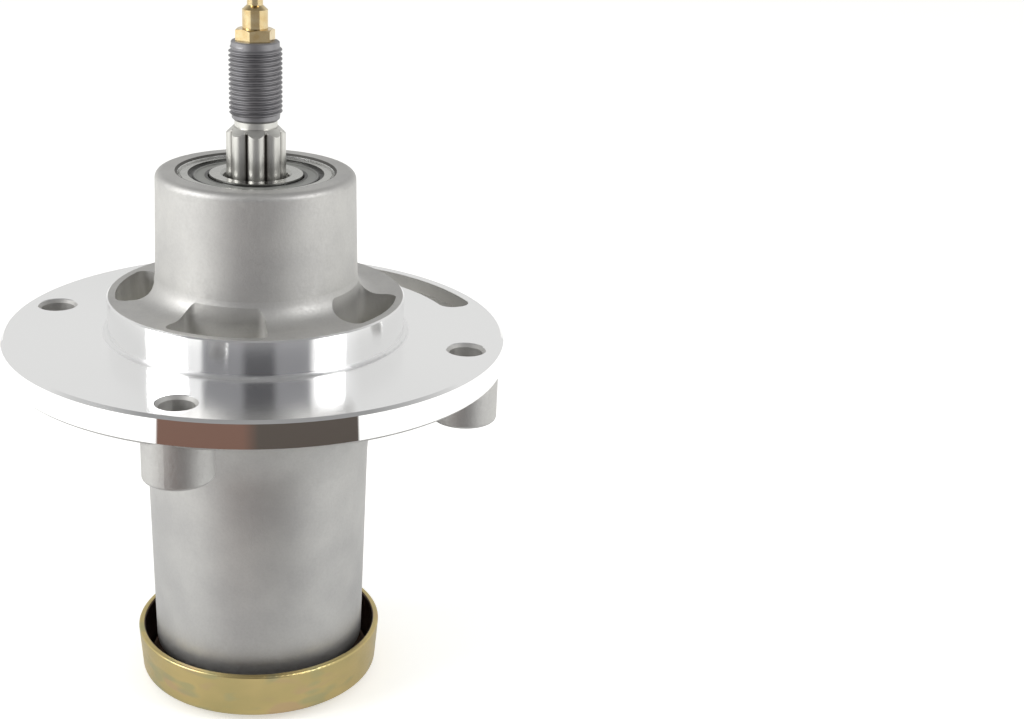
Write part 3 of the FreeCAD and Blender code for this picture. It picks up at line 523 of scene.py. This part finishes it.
def makeSeal(node):
    low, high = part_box(node)
    outside, base, top = high.x / mm, low.z / mm, high.z / mm
    inside = outside - sealFace[-1][0]
    face, back, inward = (top, base, -1) if "top" in node else (base, top, 1)
    corners = [(inside + across, face + inward * depth) for across, depth in sealFace]
    corners += [(outside, back), (inside, back)]
    addPiece(node + "_lipped", fullSpin(corners), "housing", "seal_rubber", [node])


for node in sorted(frame["nodes"]):
    if node.endswith("_seal"):
        makeSeal(node)
print("bearing seals made")


# Studio: pale floor, soft light and a camera at the photograph's angle

def panelColours(tree, east, north, panels):
    # plain walls that only mirroring metal sees, by the angle from the front round to the right
    ahead = addNode(tree, "Math", {"operation": "MULTIPLY"}, {0: north, 1: -1.0})
    turn = addNode(tree, "Math", {"operation": "ARCTAN2"}, {0: east, 1: ahead})
    first, last = panels[0][0], panels[-1][0]
    share = addNode(tree, "MapRange", {}, {"Value": turn, "From Min": math.radians(first),
                                           "From Max": math.radians(last)})
    colours = addNode(tree, "ValToRGB", {}, {"Fac": share}, None)
    stops = colours.color_ramp.elements
    stops.remove(stops[0])
    for angle, colour in panels:
        along = (angle - first) / (last - first)
        stop = stops.new(along) if angle > first else stops[0]
        stop.position, stop.color = along, linear(colour)
    side = addNode(tree, "Math", {"operation": "ABSOLUTE"}, {0: turn})
    return colours.outputs[0], side


def rayKinds(tree):
    # 1 for rays that a surface mirrors or lets through, and 1 for those and the camera's own
    path = addNode(tree, "LightPath", out=None)
    mirrored = addNode(tree, "Math", {"operation": "MAXIMUM"},
                       {0: path.outputs["Is Glossy Ray"], 1: path.outputs["Is Transmission Ray"]})
    seen = addNode(tree, "Math", {"operation": "MAXIMUM"},
                   {0: path.outputs["Is Camera Ray"], 1: mirrored})
    return mirrored, seen


# metres and degrees; an edge runs from where its tone starts to where it is full
floorPaper = {
    "size": 12.0, "drop": 0.0002, "colour": "#F2F2F0", "glow": 0.5,
    "shade": "#C6C7C8", "shadeEdge": (0.34, 0.1), "frontEdge": (40.5, 39.5),
    "panelEdge": (0.09, 0.17), "far": "#9A9A9C", "farEdge": (0.38, 0.5),
    "panels": ((-40, "#6A5248"), (-6, "#6A5248"), (0, "#4C4641"), (40, "#4C4641")),
}


def makeFloor():
    paper = floorPaper
    bm = bmesh.new()
    bmesh.ops.create_grid(bm, x_segments=1, y_segments=1, size=paper["size"] / 2)
    bmesh.ops.translate(bm, verts=bm.verts, vec=(0, 0, -paper["drop"]))
    mesh = bpy.data.meshes.new("studio_floor")
    bm.to_mesh(mesh)
    bm.free()
    floor = bpy.data.objects.new("studio_floor", mesh)
    bpy.context.scene.collection.objects.link(floor)
    material, tree, place, reach, height = startMaterial("studio_paper")
    mirrored, seen = rayKinds(tree)
    axes = addNode(tree, "SeparateXYZ", {}, {0: place}, None)
    panels, side = panelColours(tree, axes.outputs["X"], axes.outputs["Y"], paper["panels"])
    frontEdge = [math.radians(angle) for angle in paper["frontEdge"]]
    shade, front, beyond, far = (
        addNode(tree, "MapRange", {}, {"Value": value, "From Min": start, "From Max": end})
        for value, (start, end) in ((reach, paper["shadeEdge"]), (side, frontEdge),
                                    (reach, paper["panelEdge"]), (reach, paper["farEdge"])))
    # near the part the paper lies in its shade; ahead of it the panels start
    shade = addNode(tree, "Math", {"operation": "MULTIPLY"}, {0: shade, 1: mirrored})
    front = addNode(tree, "Math", {"operation": "MULTIPLY"}, {0: front, 1: beyond})
    front = addNode(tree, "Math", {"operation": "MULTIPLY"}, {0: front, 1: mirrored})
    colour = layCoats(tree, paper["colour"], (shade, paper["shade"]),
                      (front, layCoats(tree, panels, (far, paper["far"]))))
    strength = addNode(tree, "Math", {"operation": "MULTIPLY"}, {0: seen, 1: paper["glow"]})
    glow = addNode(tree, "Emission", {}, {"Color": colour, "Strength": strength})
    matt = addNode(tree, "BsdfDiffuse", {}, {"Color": colour})
    both = addNode(tree, "AddShader", {}, {0: matt, 1: glow})
    addNode(tree, "OutputMaterial", {}, {"Surface": both}, None)
    mesh.materials.append(material)


studioSky = {
    "level": 0.6, "light": "#FFFFFF", "zenith": "#9A9A9A", "zenithEdge": (0.52, 0.82),
    "panels": ((-180, "#E4E4E3"), (-100, "#E4E4E3"), (-80, "#FFFFFF"), (-44, "#FFFFFF"),
               (-42, "#8C8C8F"), (-14, "#8C8C8F"), (-8, "#4E4E51"), (10, "#4E4E51"),
               (16, "#8C8C8F"), (40, "#8C8C8F"), (42, "#FFFFFF"), (66, "#FFFFFF"),
               (86, "#E4E4E3"), (180, "#E4E4E3")),
}


def makeSky():
    sky = studioSky
    world = bpy.data.worlds.new("studio_sky")
    bpy.context.scene.world = world
    world.use_nodes = True
    tree = world.node_tree
    tree.nodes.clear()
    mirrored, seen = rayKinds(tree)
    way = addNode(tree, "SeparateXYZ", {}, {0: addNode(tree, "TexCoord", out="Generated")}, None)
    panels, side = panelColours(tree, way.outputs["X"], way.outputs["Y"], sky["panels"])
    upper = addNode(tree, "MapRange", {},
                    {"Value": way.outputs["Z"], "From Min": sky["zenithEdge"][0],
                     "From Max": sky["zenithEdge"][1]})
    tent = layCoats(tree, panels, (upper, sky["zenith"]))
    colour = layCoats(tree, sky["light"], (mirrored, tent))
    strength = addNode(tree, "MapRange", {},
                       {"Value": seen, "To Min": sky["level"], "To Max": 1.0})
    background = addNode(tree, "Background", {}, {"Color": colour, "Strength": strength})
    addNode(tree, "OutputWorld", {}, {"Surface": background}, None)


# place and diameter in metres, power in watts
softboxes = {
    "softbox_left": {"place": (-1.3, -0.35, 0.8), "size": 0.9, "power": 10.0},
    "softbox_right": {"place": (1.07, -0.62, 0.9), "size": 0.6, "power": 4.5},
}
aim = Vector((0, 0, 0.1))  # middle of the part


def addSoftbox(name, place, size, power):
    lamp = bpy.data.lights.new(name, "AREA")
    lamp.shape = "DISK"
    lamp.size = size
    lamp.energy = power
    box = bpy.data.objects.new(name, lamp)
    box.location = place
    box.rotation_euler = (aim - Vector(place)).to_track_quat("-Z", "Y").to_euler()
    bpy.context.scene.collection.objects.link(box)


makeFloor()
makeSky()
for name, sizes in softboxes.items():
    addSoftbox(name, **sizes)

# metres, degrees, and millimetres for the lens
cameraFit = {"ahead": 0.4867, "height": 0.2906, "pitch": 20.28, "yaw": 9.49, "roll": 2.85,
             "lens": 57.07, "sensor": 36.0, "nearest": 0.01}


def makeCamera():
    fit = cameraFit
    yaw, pitch, roll = (math.radians(fit[name]) for name in ("yaw", "pitch", "roll"))
    look = Vector((math.sin(yaw) * math.cos(pitch), math.cos(yaw) * math.cos(pitch),
                   -math.sin(pitch)))
    right = Vector((math.cos(yaw), -math.sin(yaw), 0))
    up = right.cross(look)
    rolledRight = right * math.cos(roll) + up * math.sin(roll)
    rolledUp = up * math.cos(roll) - right * math.sin(roll)
    lens = bpy.data.cameras.new("camera")
    lens.sensor_width = fit["sensor"]
    lens.lens = fit["lens"]
    lens.clip_start = fit["nearest"]
    camera = bpy.data.objects.new("camera", lens)
    turn = Matrix((rolledRight, rolledUp, -look)).transposed().to_4x4()
    camera.matrix_world = Matrix.Translation((0, -fit["ahead"], fit["height"])) @ turn
    bpy.context.scene.collection.objects.link(camera)
    bpy.context.scene.camera = camera


makeCamera()
bpy.context.scene.view_settings.view_transform = "Standard"
print("studio and camera set")
